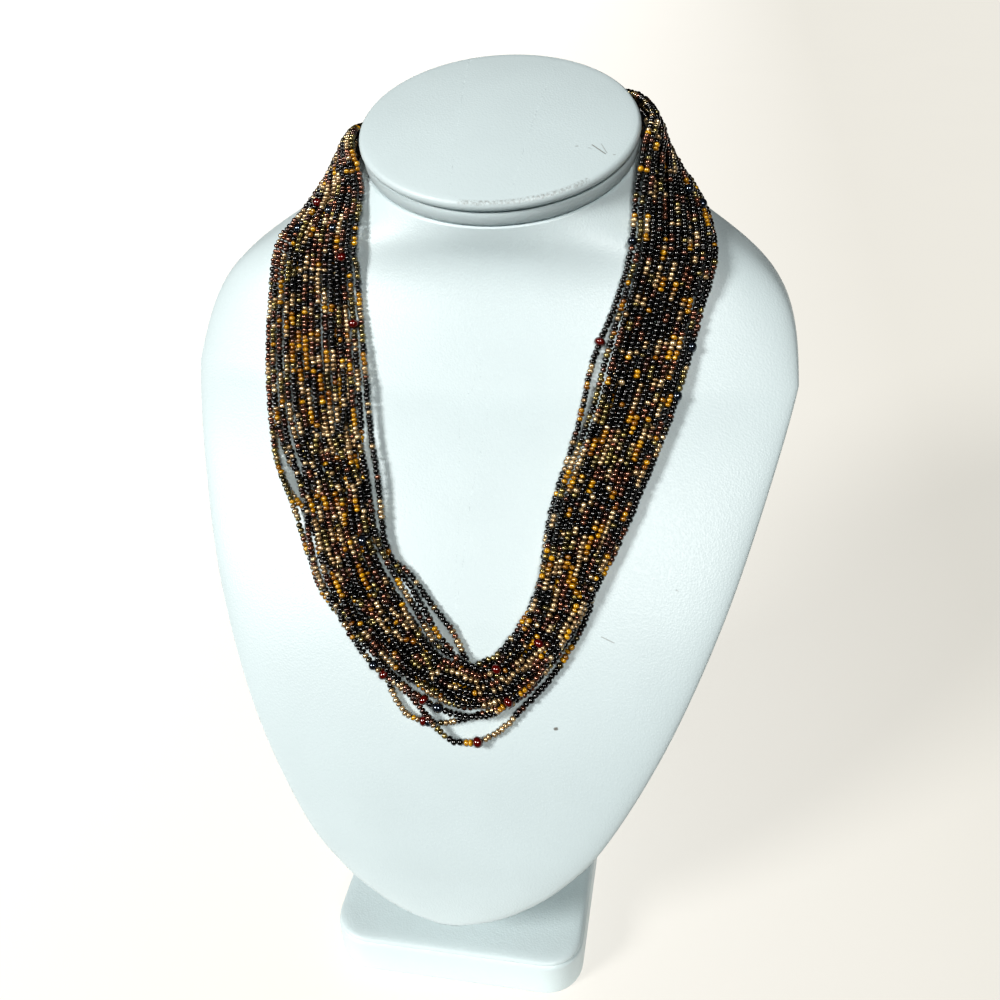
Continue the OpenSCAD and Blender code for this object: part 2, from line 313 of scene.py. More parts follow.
@dataclass
class Threaded:
    """Beads of one form along a thread: one entry for each bead, in millimetres."""

    form: Bead
    at: np.ndarray
    axis: np.ndarray
    length: np.ndarray
    width: np.ndarray
    turn: np.ndarray
    tone: np.ndarray
    kind: np.ndarray

    def points(self) -> np.ndarray:
        """Works out the corners of every bead.

        Returns:
            Points in millimetres, shape (beads, rings, sides, 3).
        """
        first, second = around(self.axis)
        angle = self.turn[:, None] + np.arange(self.form.sides) * math.tau / self.form.sides
        spoke = (first[:, None] * np.cos(angle)[..., None]
                 + second[:, None] * np.sin(angle)[..., None])
        profile = np.array(self.form.profile)
        along = profile[:, 0] * self.length[:, None] / 2
        out = profile[:, 1] * self.width[:, None] * self.form.diameter / 2
        return (self.at[:, None, None] + self.axis[:, None, None] * along[..., None, None]
                + spoke[:, None] * out[..., None, None])

    def faces(self, base: int) -> list[list[int]]:
        """Lists the faces of every bead.

        Args:
            base: Number of points that come before these.

        Returns:
            Faces, bead by bead, each bead's two ends last.
        """
        sides, rings = self.form.sides, len(self.form.profile)
        j, i = np.meshgrid(np.arange(rings - 1), np.arange(sides), indexing="ij")
        a, b = j * sides + i, j * sides + (i + 1) % sides
        quads = np.stack([a, b, b + sides, a + sides], axis=-1).reshape(-1, 4).tolist()
        one = quads + [list(range(sides - 1, -1, -1)),
                       [(rings - 1) * sides + k for k in range(sides)]]
        starts = base + np.arange(len(self.at)) * sides * rings
        return [[start + k for k in face] for start in starts.tolist() for face in one]


def bead_mesh(name: str, groups: list[Threaded]) -> bpy.types.Mesh:
    """Makes one mesh of closed beads.

    Args:
        name: Name of the mesh.
        groups: Beads, grouped by form.

    Returns:
        The mesh in metres, with each bead's finish as its material and a tone for each bead.
    """
    verts, faces, kinds, tones = [], [], [], []
    base = 0
    for group in groups:
        points = group.points()
        per_bead = points.shape[1] * points.shape[2]
        made = group.faces(base)
        verts.append(points.reshape(-1, 3))
        faces.extend(made)
        kinds.append(np.repeat(group.kind, len(made) // len(group.at)))
        tones.append(np.repeat(group.tone, per_bead))
        base += len(group.at) * per_bead
    mesh = bpy.data.meshes.new(name)
    mesh.from_pydata((np.concatenate(verts) * MM).tolist(), [], faces)
    mesh.polygons.foreach_set("use_smooth", np.ones(len(faces), bool))
    mesh.polygons.foreach_set("material_index", np.concatenate(kinds).astype(np.int32))
    tone = mesh.attributes.new("tone", "FLOAT", "POINT")
    tone.data.foreach_set("value", np.concatenate(tones).astype(np.float32))
    mesh.update()
    return mesh


# Larger beads on the band: row of its route, place across it from -1 outside to 1 inside, finish
BAND_BEADS = (
    (2.4, 0.3, BeadFinish.BROWN), (4.1, -0.4, BeadFinish.GARNET), (4.5, 0.1, BeadFinish.GUNMETAL),
    (5.0, 0.3, BeadFinish.GUNMETAL), (5.0, -0.6, BeadFinish.GUNMETAL),
    (5.8, 0.6, BeadFinish.GARNET), (7.7, 0.9, BeadFinish.GARNET), (12.0, 0.3, BeadFinish.GUNMETAL),
    (14.4, -1.0, BeadFinish.GUNMETAL), (14.7, -0.9, BeadFinish.GARNET),
    (15.5, -0.9, BeadFinish.GARNET), (15.8, -0.7, BeadFinish.GUNMETAL),
    (17.4, -0.9, BeadFinish.GARNET), (17.7, 0.7, BeadFinish.GARNET),
    (18.8, 0.1, BeadFinish.GARNET), (24.3, -1.0, BeadFinish.GUNMETAL),
    (25.2, -1.0, BeadFinish.GUNMETAL),
    (27.1, 1.0, BeadFinish.GUNMETAL), (28.4, -0.9, BeadFinish.GUNMETAL),
    (28.6, -0.5, BeadFinish.GUNMETAL), (30.6, 0.0, BeadFinish.BROWN),
)
# Larger beads on the stray strands: place in millimetres and finish
STRAY_BEADS = (
    ((-8.5, -45, 95), BeadFinish.GARNET),
    ((-6, -44.5, 94), BeadFinish.GUNMETAL),
    ((8.5, -46, 92.7), BeadFinish.GARNET),
    ((35.3, 29.8, 186.7), BeadFinish.GARNET),
)


@dataclass(frozen=True)
class Lay:
    """How the strands lie from one row of the band on: how many on top, how far out of order."""

    row: float
    top: int
    shuffle: float


@dataclass(frozen=True)
class BeadStrands:
    """All the strands of the necklace, each a string of beads from knot to knot."""

    band: Band = field(default_factory=Band)
    count: int = 22
    seed: int = 7
    spacing: float = 2.14
    # how the strands settle beside each other: sweeps, pull to their place in the early share of
    # them and later, push from neighbours
    sweeps: int = 260
    early: float = 0.6
    pull: float = 0.12
    late_pull: float = 0.07
    push: float = 0.42
    # strands that keep their place at each edge, and how far across the lower layer reaches
    edge_strands: int = 3
    lower_reach: float = 0.62
    # share of the band's section that round strands can fill
    packing: float = 0.84
    squareness: float = 2.4
    lays: tuple[Lay, ...] = (Lay(8.5, 15, 0), Lay(12.2, 11, 3.6), Lay(14.4, 10, 5.0),
                             Lay(16.6, 11, 5.0), Lay(20.0, 14, 3.0))
    # how far they wander across the band and up and down, in millimetres, in how many draws along
    # it, and by which factor at which rows
    meander: float = 0.42
    rise: float = 0.28
    waves: int = 20
    busy: tuple[tuple[float, float], ...] = ((10.5, 0.7), (13.0, 3.5), (18.0, 3.5), (21.0, 0.7))
    # shares of black, gold, amber, bronze and olive at the left, middle and right of the band
    mix: tuple[tuple[float, ...], ...] = (
        (0.32, 0.23, 0.14, 0.18, 0.13),
        (0.46, 0.18, 0.10, 0.17, 0.09),
        (0.54, 0.14, 0.07, 0.16, 0.09))
    # how many strands at the left leg's outer edge are brighter, how much of their black goes, and
    # between which shares of the way this fades out
    bright_strands: int = 6
    brightening: float = 0.75
    bright_until: tuple[float, float] = (0.3, 0.55)
    # chance that a bead has the finish of the one before it
    repeat: float = 0.42
    # how far from a bead's middle its thread gives it its direction, in millimetres
    hole_reach: float = 0.7
    # how crooked the beads sit on their thread: as a slope, and in millimetres
    lean: float = 0.14
    play: float = 0.09
    # how uneven the beads are: spread and limits of their length and width, as shares
    uneven_length: tuple[float, float, float] = (0.12, 0.7, 1.3)
    uneven_width: tuple[float, float, float] = (0.075, 0.8, 1.14)
    # a larger bead that isn't garnet is a little narrower
    narrow: float = 0.86
    # stations over which a strand bends where it leaves the band, and how often that is smoothed
    bend: int = 9
    bend_sweeps: int = 30
    bare_end: float = 7.0
    thread_radius: float = 0.22

    def order(self, rng: np.random.Generator, ranks: np.ndarray,
              lay: Lay) -> tuple[np.ndarray, np.ndarray, np.ndarray]:
        """Gives every strand its place across the band and its layer.

        Args:
            rng: Source of the random draws.
            ranks: Each strand's rank from the outer to the inner edge before this row.
            lay: How the strands lie from this row on.

        Returns:
            New ranks, places from -1 at the outer to 1 at the inner edge, heights from -1 to 1.
        """
        last = self.count - 1
        inner = self.edge_strands - 0.5
        moved = np.clip(ranks + rng.normal(0, lay.shuffle, self.count), inner, last - inner)
        edge = (ranks < inner) | (ranks > last - inner)
        ranks = np.argsort(np.argsort(np.where(edge, ranks, moved)))
        # spreads the upper strands evenly among the lower ones
        count_up = np.floor(np.arange(self.count + 1) * lay.top / self.count + 1e-6)
        upper = count_up[ranks + 1] > count_up[ranks]
        across = np.zeros(self.count)
        for group, reach in ((upper, 1.0), (~upper, self.lower_reach)):
            order = np.argsort(np.argsort(ranks[group]))
            across[group] = np.linspace(-reach, reach, group.sum())[order]
        height = (1 - np.abs(across) ** self.squareness) ** (1 / self.squareness)
        return ranks, across, np.where(upper, height, -height)

    def layout(self) -> tuple[Sections, np.ndarray]:
        """Packs the strands side by side in every cross section of the band.

        Returns:
            The sections, and the strands' places in millimetres, shape (strands, stations, 3).
        """
        rng = np.random.default_rng(self.seed)
        cut = self.band.sections()
        n, m = self.count, len(cut.at)
        radius = SEED.diameter / 2
        half_w, half_d = cut.half_width - radius, cut.half_depth - radius
        waves = np.linspace(0, self.waves - 1, m)
        meander = along_rows(rng.normal(0, self.meander, (self.waves, n)), waves)
        rise = along_rows(rng.normal(0, self.rise, (self.waves, n)), waves)
        ranks, across, layer = self.order(rng, np.arange(n), self.lays[0])
        goal = np.stack([across, layer], -1) * np.ones((m, 1, 1))
        for before, lay in zip(self.lays, self.lays[1:]):
            ranks, across, layer = self.order(rng, ranks, lay)
            share = np.clip((cut.at - before.row) / (lay.row - before.row), 0, 1)[:, None, None]
            goal += share * share * (3 - 2 * share) * (np.stack([across, layer], -1) - goal)
        busy = np.interp(cut.at, *zip(*self.busy))[:, None]
        goal = np.stack([goal[..., 0] * half_w[:, None] + meander * busy,
                         goal[..., 1] * half_d[:, None] + rise * busy], -1)
        free = np.zeros((m, n), bool)
        spans = [[int(np.argmin(np.linalg.norm(cut.centre - end, axis=1)))
                  for end in (stray.points[0], stray.points[-1])] for stray in STRAYS]
        for stray, (first, last) in zip(STRAYS, spans):
            free[first:last + 1, stray.strand] = True
        area = math.pi * (half_w + radius) * (half_d + radius)
        gap = np.minimum(self.spacing, np.sqrt(area * self.packing * 4 / math.pi / n))
        place = goal.copy()
        others = ~np.eye(n, dtype=bool)
        for sweep in range(self.sweeps):
            pull = self.pull if sweep < self.sweeps * self.early else self.late_pull
            place += pull * (goal - place)
            apart = place[:, :, None] - place[:, None, :]
            dist = np.linalg.norm(apart, axis=-1) + 1e-9
            push = np.clip(gap[:, None, None] - dist, 0, None) * others
            push = push * ~free[:, None, :] * ~free[:, :, None]
            firmness = self.push * min(1, 2 * sweep / self.sweeps)
            place += firmness * (apart / dist[..., None] * push[..., None]).sum(axis=2)
            smooth = place.copy()
            smooth[1:-1] = (place[:-2] + 2 * place[1:-1] + place[2:]) / 4
            place += 0.5 * (smooth - place)
            across = np.clip(place[..., 0] / half_w[:, None], -1, 1)
            room = half_d[:, None] * (1 - np.abs(across) ** self.squareness
                                      ) ** (1 / self.squareness)
            place = np.stack([across * half_w[:, None], np.clip(place[..., 1], -room, room)], -1)
        world = (cut.centre[:, None] + cut.side[:, None] * place[..., :1]
                 + cut.up[:, None] * place[..., 1:]).transpose(1, 0, 2)
        for stray, (first, last) in zip(STRAYS, spans):
            self.lead_out(world[stray.strand], np.array(stray.points), first, last)
        return cut, world

    def lead_out(self, line: np.ndarray, points: np.ndarray, first: int, last: int) -> None:
        """Draws one strand along its stray route, with easy bends where it leaves the band.

        Args:
            line: The strand's places, changed in place.
            points: The stray route.
            first: Station where the strand leaves the band.
            last: Station where it comes back.
        """
        span = np.linspace(0, len(points) - 1, last - first + 1)
        line[first:last + 1] = along_rows(points, span)
        for end in (first, last):
            lo, hi = max(1, end - self.bend), min(len(line) - 2, end + self.bend)
            for _ in range(self.bend_sweeps):
                between = (line[lo - 1:hi - 1] + line[lo + 1:hi + 1]) / 2
                line[lo:hi] += 0.5 * (between - line[lo:hi])

    def finishes(self, rng: np.random.Generator, reach: np.ndarray, bright: float) -> np.ndarray:
        """Draws the run of finishes along one strand.

        Args:
            rng: Source of the random draws.
            reach: Each bead's share of the way from the left end to the right end.
            bright: How far the strand belongs to the bright outer ones, from 0 to 1.

        Returns:
            A finish number for each bead.
        """
        mix = np.array(self.mix)
        chances = along_rows(mix, np.clip(reach, 0, 1) * (len(mix) - 1))
        fade = np.interp(reach, self.bright_until, (1, 0))
        chances[:, 0] *= 1 - self.brightening * bright * fade
        chances /= chances.sum(axis=1, keepdims=True)
        picks = (rng.random(len(reach))[:, None] > np.cumsum(chances, axis=1)).sum(axis=1)
        keep = rng.random(len(reach)) < self.repeat
        for i in range(1, len(picks)):
            if keep[i]:
                picks[i] = picks[i - 1]
        return np.minimum(picks, mix.shape[1] - 1)

    def large_on(self, cut: Sections,
                 lines: np.ndarray) -> dict[int, list[tuple[int, BeadFinish]]]:
        """Hands every larger bead to the strand that passes nearest to its place.

        Args:
            cut: The band's sections.
            lines: The strands' places in millimetres.

        Returns:
            For each strand, the stations and finishes of its larger beads.
        """
        places = [(np.array(place, float), finish) for place, finish in STRAY_BEADS]
        for row, across, finish in BAND_BEADS:
            i = int(np.argmin(np.abs(cut.at - row)))
            places.append((cut.centre[i] + cut.side[i] * across * cut.half_width[i]
                           + cut.up[i] * cut.half_depth[i], finish))
        found: dict[int, list[tuple[int, BeadFinish]]] = {}
        for place, finish in places:
            away = np.linalg.norm(lines - place, axis=-1)
            strand, station = np.unravel_index(np.argmin(away), away.shape)
            found.setdefault(int(strand), []).append((int(station), finish))
        return found

    def build(self, materials: list[bpy.types.Material],
              thread: bpy.types.Material) -> list[bpy.types.Object]:
        """Strings every strand.

        Args:
            materials: One material for each bead finish.
            thread: Material of the thread.

        Returns:
            The pieces: one for each strand, and the threads.
        """
        rng = np.random.default_rng(self.seed + 1)
        cut, lines = self.layout()
        large = self.large_on(cut, lines)
        pieces = []
        nodes: dict[int, list[str]] = {}
        for stray in STRAYS:
            nodes.setdefault(stray.strand, []).extend(stray.nodes)
        for k, line in enumerate(lines):
            bright = max(0.0, 1 - k / self.bright_strands)
            mesh = self.string(rng, f"strand_{k + 1:02d}", line, large.get(k, []), bright)
            pieces.append(add_piece(mesh.name, mesh,
                                    ("bead_bundle", *nodes.get(k, ())), materials))
        tubes = [tube(line[::2], self.thread_radius, 5) for line in lines]
        pieces.append(add_piece("strand_threads", joined("strand_threads", tubes), (),
                                [thread]))
        return pieces

    def string(self, rng: np.random.Generator, name: str, line: np.ndarray,
               large: list[tuple[int, BeadFinish]], bright: float) -> bpy.types.Mesh:
        """Threads beads along one line.

        Args:
            rng: Source of the random draws.
            name: Name of the mesh.
            line: Places along the strand in millimetres.
            large: Stations and finishes of its larger beads.
            bright: How far the strand belongs to the bright outer ones, from 0 to 1.

        Returns:
            A mesh of closed beads.
        """
        run = np.concatenate([[0], np.cumsum(np.linalg.norm(np.diff(line, axis=0), axis=1))])
        trims = rng.uniform(0, self.bare_end, 2)
        spread, *limits = self.uneven_length
        enough = int(run[-1] / SEED.length) + 20
        length = SEED.length * rng.normal(1, spread, enough).clip(*limits)
        centre = trims[0] + np.cumsum(length) - length / 2
        keep = centre < run[-1] - trims[1]
        centre, length = centre[keep], length[keep]
        kind = self.finishes(rng, centre / run[-1], bright)
        spread, *limits = self.uneven_width
        width = rng.normal(1, spread, len(centre)).clip(*limits)
        turn, tone = rng.uniform(0, math.tau, len(centre)), rng.random(len(centre))
        alone = np.ones(len(centre), bool)
        big: list[tuple[float, float, int]] = []
        for station, finish in large:
            i = int(np.clip(np.searchsorted(centre, run[station]), 1, len(centre) - 2))
            alone[i - 1:i + 1] = False
            start, stop = centre[i - 1] - length[i - 1] / 2, centre[i] + length[i] / 2
            big.append(((start + stop) / 2, stop - start, finish.value))
        groups = [Threaded(SEED, *self.on_thread(rng, line, run, centre[alone]),
                           *(values[alone] for values in (length, width, turn, tone, kind)))]
        if big:
            centres, lengths, kinds = (np.array(values) for values in zip(*big))
            widths = np.where(kinds == BeadFinish.GARNET.value, 1.0, self.narrow)
            groups.append(Threaded(LARGE, *self.on_thread(rng, line, run, centres), lengths,
                                   widths, widths, widths / 2, kinds))
        return bead_mesh(name, groups)

    def on_thread(self, rng: np.random.Generator, line: np.ndarray, run: np.ndarray,
                  centres: np.ndarray) -> tuple[np.ndarray, np.ndarray]:
        """Places beads on a thread, each along its run and a little askew.

        Args:
            rng: Source of the random draws.
            line: Places along the strand in millimetres.
            run: Length of the strand up to each of them.
            centres: Length of the strand up to the middle of each bead.

        Returns:
            Places of the beads in millimetres and the directions of their holes.
        """
        at, back, ahead = (
            np.stack([np.interp(centres + step, run, line[:, i]) for i in range(3)], axis=-1)
            for step in (0, -self.hole_reach, self.hole_reach))
        axis = unit(unit(ahead - back) + rng.normal(0, self.lean, at.shape))
        return at + rng.normal(0, self.play, at.shape), axis


# neck bust


@dataclass(frozen=True)
class NeckBust:
    """The covered display bust, with the source's sizes, in millimetres and degrees."""

    base_w: float = 81.0
    base_d: float = 120.0
    base_h: float = 15.5
    base_corner_r: float = 12.0
    base_rim: float = 2.2
    base_seam: float = 0.8
    column_w: float = 52.0
    column_d: float = 42.0
    column_y: float = 4.0
    column_top: float = 165.0
    column_edge: float = 3.0
    chest_w: float = 192.0
    chest_h: float = 184.0
    chest_lean: float = 125.0
    chest_bow: float = 13.0
    chest_t: float = 11.0
    tip_y: float = -61.0
    tip_z: float = 30.0
    neck_w: float = 86.0
    neck_d: float = 74.0
    cap_tilt: float = 22.0
    cap_rise: float = 206.0
    cap_back: float = 131.0
    band_h: float = 5.0
    cap_h: float = 6.5
    cap_rim: float = 3.6
    cap_lip: float = 0.4
    seat_gap: float = 0.3
    bell_w: float = 66.0
    front_flare: float = 83.0
    back_flare: float = 62.5
    front_flare_drop: float = 16.0
    back_flare_rise: float = 6.0
    back_curl: float = 0.5
    neck_run: float = 0.3
    # height, half width, front, curl, thickness, squareness, share of the neck, slope
    chest_rows: tuple[tuple[float, ...], ...] = (
        (0.000, 0.06, 0.000, 0.00, 0.50, 2.5, 0.00, 0.00),
        (0.012, 0.16, 0.002, 0.02, 0.66, 2.8, 0.00, 0.00),
        (0.035, 0.25, 0.007, 0.06, 0.80, 3.2, 0.00, 0.00),
        (0.080, 0.36, 0.019, 0.12, 0.92, 3.6, 0.00, 0.00),
        (0.160, 0.49, 0.049, 0.23, 1.00, 4.0, 0.00, 0.00),
        (0.317, 0.655, 0.134, 0.40, 1.06, 4.0, 0.00, 0.00),
        (0.490, 0.80, 0.278, 0.60, 1.14, 4.0, 0.00, 0.00),
        (0.660, 0.915, 0.473, 0.79, 1.24, 4.0, 0.03, 0.00),
        (0.790, 0.99, 0.658, 0.94, 1.34, 4.0, 0.24, 0.00),
        (0.865, 0.995, 0.770, 1.00, 1.36, 4.0, 0.48, 0.00),
        (0.920, 0.95, 0.850, 1.00, 1.36, 3.8, 0.68, 0.00),
        (0.958, 0.82, 0.910, 0.80, 1.45, 3.5, 0.82, 0.08),
        (0.990, 0.66, 0.970, 0.55, 1.80, 3.0, 0.92, 0.24),
        (1.024, 0.55, 1.020, 0.35, 2.20, 2.4, 0.98, 0.50),
        (1.058, 0.482, 1.060, 0.20, 2.60, 2.0, 1.00, 0.77),
        (1.093, 0.448, 1.100, 0.10, 3.00, 2.0, 1.00, 1.00),
    )
    # how the tip closes: share of its ring, and rise in millimetres
    tip_closing: tuple[tuple[float, float], ...] = ((0.55, 0.0), (0.8, 0.12), (0.94, 0.35))
    rings_per_row: int = 8
    # row from which the shoulders and neck are smoothed, and how often
    first_smoothed: int = 8
    neck_smoothing: int = 170
    # grimy stretch of the cap's rim: its first and last angle, and how many places mark it
    grime: tuple[float, float, int] = (-98.0, -44.0, 8)
    # points of a rounded corner, and steps along a flat side
    corner_points: int = 10
    flat_steps: int = 8
    front_points: int = 72
    neck_points: int = 144

    @property
    def cap_middle(self) -> np.ndarray:
        """Middle of the cap's seam."""
        return np.array([0, self.tip_y + self.cap_back, self.tip_z + self.cap_rise])

    @property
    def neck_top(self) -> np.ndarray:
        """Middle of the neck's top, under the band."""
        tilt = math.radians(self.cap_tilt)
        return self.cap_middle - (self.band_h + self.seat_gap) * np.array(
            [0, -math.sin(tilt), math.cos(tilt)])

    def chest_ring(self, row: np.ndarray) -> np.ndarray:
        """One level ring of the chest and neck.

        Args:
            row: One row of the chest's table.

        Returns:
            Points of the ring: the front from left to right, then the back.
        """
        height, wide, lean, curl, thick, square, neck, slope = row
        _, middle, top = self.neck_top
        z0 = self.tip_z + height * self.chest_h
        reach = self.neck_d / 2 * math.cos(math.radians(self.cap_tilt))
        front_drop = max(0, top - self.front_flare_drop - z0)
        back_drop = max(0, top + self.back_flare_rise - z0)
        neck_front = middle - reach - front_drop**2 / self.front_flare
        neck_back = middle + reach - back_drop**2 / self.back_flare
        n = self.front_points
        k = np.arange(2 * n + 2)
        back = k > n + 1
        q = np.where(back, 2 * n + 2 - k, k)
        s = np.sin(np.radians(180 * q / (n + 1) - 90))
        x = wide * self.chest_w / 2 * s
        bell = (1 + np.cos(math.pi * np.minimum(1, np.abs(x) / self.bell_w))) / 2
        share = neck * (1 - (1 - bell) * (1 - neck))
        front = self.tip_y + lean * self.chest_lean
        bow = curl * self.chest_bow
        y_front = (1 - share) * (front + bow * s * s) + share * neck_front
        y_back = ((1 - share) * (front + thick * self.chest_t + self.back_curl * bow * s * s)
                  + share * neck_back)
        rim = np.maximum(0, 1 - np.abs(s) ** square) ** (1 / square)
        y = (y_front + y_back) / 2 + np.where(back, 1, -1) * rim * (y_back - y_front) / 2
        z = z0 + (y - middle) * math.tan(math.radians(slope * self.cap_tilt))
        return np.stack([x, y, z], axis=-1)

    def chest(self) -> np.ndarray:
        """Rings of the chest and neck, rounded at the lower tip.

        Returns:
            Rings of points.
        """
        rows = np.array(self.chest_rows)
        at = np.linspace(0, len(rows) - 1, self.rings_per_row * (len(rows) - 1) + 1)
        rings = np.array([self.chest_ring(row) for row in along_rows(rows, at)])
        lower = self.first_smoothed * self.rings_per_row
        for _ in range(self.neck_smoothing):
            rings[lower:-1] += 0.5 * ((rings[lower - 1:-2] + rings[lower + 1:]) / 2
                                      - rings[lower:-1])
        tip = rings[0]
        middle = tip.mean(axis=0)
        closing = [middle + (tip - middle) * share + np.array([0, 0, lift])
                   for share, lift in self.tip_closing]
        return np.concatenate([closing, rings[1:]])

    def outline(self, wide: float, front: float, back: float, corner: float,
                z: float) -> np.ndarray:
        """Level ring of a rounded rectangle.

        Args:
            wide: Its width.
            front: y of its front.
            back: y of its back.
            corner: Radius of its corners.
            z: Its height.

        Returns:
            Points of the ring.
        """
        arc = np.radians(np.linspace(0, 90, self.corner_points))
        along = np.linspace(0, 1, self.flat_steps + 1)[1:-1, None]
        arcs = []
        for k, (side, y) in enumerate(((1, back - corner), (-1, back - corner),
                                       (-1, front + corner), (1, front + corner))):
            centre = np.array([side * (wide / 2 - corner), y])
            turn = arc + k * math.pi / 2
            arcs.append(centre + corner * np.stack([np.cos(turn), np.sin(turn)], axis=-1))
        pieces = []
        for corner_arc, following in zip(arcs, arcs[1:] + arcs[:1]):
            pieces += [corner_arc, corner_arc[-1] + (following[0] - corner_arc[-1]) * along]
        ring = np.concatenate(pieces)
        return np.column_stack([ring, np.full(len(ring), z)])

    def base(self) -> np.ndarray:
        """Rings of the base plate: a covered slab, its sewn seam and its padded top.

        Returns:
            Rings of points.
        """
        seam = self.base_h - self.base_rim
        deep = self.base_seam + 0.15
        # how far each ring lies inside the plate's outline, and its height
        slab = ((1.4, 0.0), (0.5, 0.15), (0.12, 0.6), (0, 1.4), (0, 4), (0, 8), (0, seam - 1.8),
                (0.05, seam - 1.0), (0.3, seam - 0.45))
        stitching = ((deep, seam - 0.12), (deep + 0.1, seam + 0.05), (deep - 0.1, seam + 0.2))
        padding = ((0.5, seam + 0.45), (0.4, seam + 0.8), (0.55, seam + 1.25), (1.1, seam + 1.7),
                   (2.2, seam + 1.98), (4.2, seam + 2.12), (8, seam + 2.18), (16, self.base_h),
                   (26, self.base_h), (36, self.base_h))
        least_corner = 3.0
        rings = []
        for inset, z in slab + stitching + padding:
            corner = max(self.base_corner_r - inset, least_corner)
            rings.append(self.outline(self.base_w - 2 * inset, -self.base_d / 2 + inset,
                                      self.base_d / 2 - inset, corner, z))
        return np.array(rings)

    def column(self) -> np.ndarray:
        """Rings of the upright, whose front leans back along the chest.

        Returns:
            Rings of points.
        """
        last = len(self.chest_rows) - 1
        rows = along_rows(np.array(self.chest_rows),
                          np.linspace(0, last, self.rings_per_row * last + 1))
        stand_off = (self.seat_gap + self.neck_run
                     + self.back_curl * self.chest_bow * (self.column_w / self.chest_w) ** 2)
        lean_z = self.tip_z + rows[:, 0] * self.chest_h
        lean_y = self.tip_y + rows[:, 2] * self.chest_lean + rows[:, 4] * self.chest_t + stand_off
        back = self.column_y + self.column_d
        tall = self.column_top - self.base_h
        # distance from an end, and how far the rounded edge draws the ring in there
        rounding = ((0.0, 0.9), (0.6, 0.3), (1.5, 0.0))
        levels = [*rounding, *((rise, 0.0) for rise in np.linspace(4, tall - 3, 46)),
                  *((tall - step, inset) for step, inset in rounding[::-1])]
        rings = []
        for rise, inset in levels:
            z = self.base_h + rise
            front = max(self.column_y, float(np.interp(z, lean_z, lean_y)))
            rings.append(self.outline(self.column_w - 2 * inset, front + inset, back - inset,
                                      self.column_edge, z))
        return np.array(rings)

    def on_neck(self, profile: np.ndarray) -> np.ndarray:
        """Rings round the neck's ellipse.

        Args:
            profile: Depth radius and height above the cap's seam, one row for each ring.

        Returns:
            Rings of points.
        """
        tilt = math.radians(self.cap_tilt)
        a = np.arange(self.neck_points) * math.tau / self.neck_points
        x = self.neck_w / self.neck_d * profile[:, :1] * np.cos(a)
        y = profile[:, :1] * np.sin(a)
        z = np.repeat(profile[:, 1:], len(a), axis=1)
        return self.cap_middle + np.stack([x, y * math.cos(tilt) - z * math.sin(tilt),
                                           y * math.sin(tilt) + z * math.cos(tilt)], axis=-1)

    def neck_band(self) -> np.ndarray:
        """Rings of the rounded band under the cap.

        Returns:
            Rings of points.
        """
        a = np.radians(np.linspace(-88, 88, 25))
        r = self.neck_d / 2
        swell, fullness = 1.3, 0.7
        rim = np.stack([r - swell + swell * np.cos(a) ** fullness,
                        self.band_h / 2 * (np.sin(a) - 1)], axis=-1)
        lower, upper = [[r * 0.8, rim[0, 1]]], [[r * 0.8, rim[-1, 1]]]
        return self.on_neck(np.concatenate([lower, rim, upper]))

    def neck_cap(self) -> np.ndarray:
        """Rings of the domed cap with its rolled rim.

        Returns:
            Rings of points.
        """
        r = self.cap_rim / 2
        inner = self.neck_d / 2 + self.cap_lip - r
        a = np.radians(np.linspace(-90, 72, 24))
        rim = np.stack([inner + r * np.cos(a), self.seat_gap + r * (1 + np.sin(a))], axis=-1)
        share = np.linspace(0.965, 0.01, 34)
        dome = np.stack([inner * share, self.seat_gap + self.cap_rim
                         + (self.cap_h - self.cap_rim) * (1 - share**2)], axis=-1)
        return self.on_neck(np.concatenate([rim, dome]))

    def rim_line(self, start: float, end: float, count: int) -> np.ndarray:
        """Places along the upper edge of the cap's rim.

        Args:
            start: Angle of the first, in degrees, with -90 at the front.
            end: Angle of the last.
            count: How many.

        Returns:
            The places.
        """
        r, up = self.cap_rim / 2, math.radians(60)
        lip = self.neck_d / 2 + self.cap_lip - r + r * math.cos(up)
        ring = self.on_neck(np.array([[lip, self.seat_gap + r + r * math.sin(up)]]))[0]
        turns = np.radians(np.linspace(start, end, count)) / math.tau * len(ring)
        return ring[np.round(turns).astype(int) % len(ring)]

    def build(self, leatherette: bpy.types.Material) -> list[bpy.types.Object]:
        """Builds the bust.

        Args:
            leatherette: Its cover.

        Returns:
            The pieces.
        """
        made = {"base_plate": self.base(), "column": self.column(), "bust_form": self.chest(),
                "neck_band": self.neck_band(), "neck_cap": self.neck_cap()}
        return [add_piece(f"covered_{node}", joined(f"covered_{node}", [rings]),
                          (node,), [leatherette]) for node, rings in made.items()]


# closure


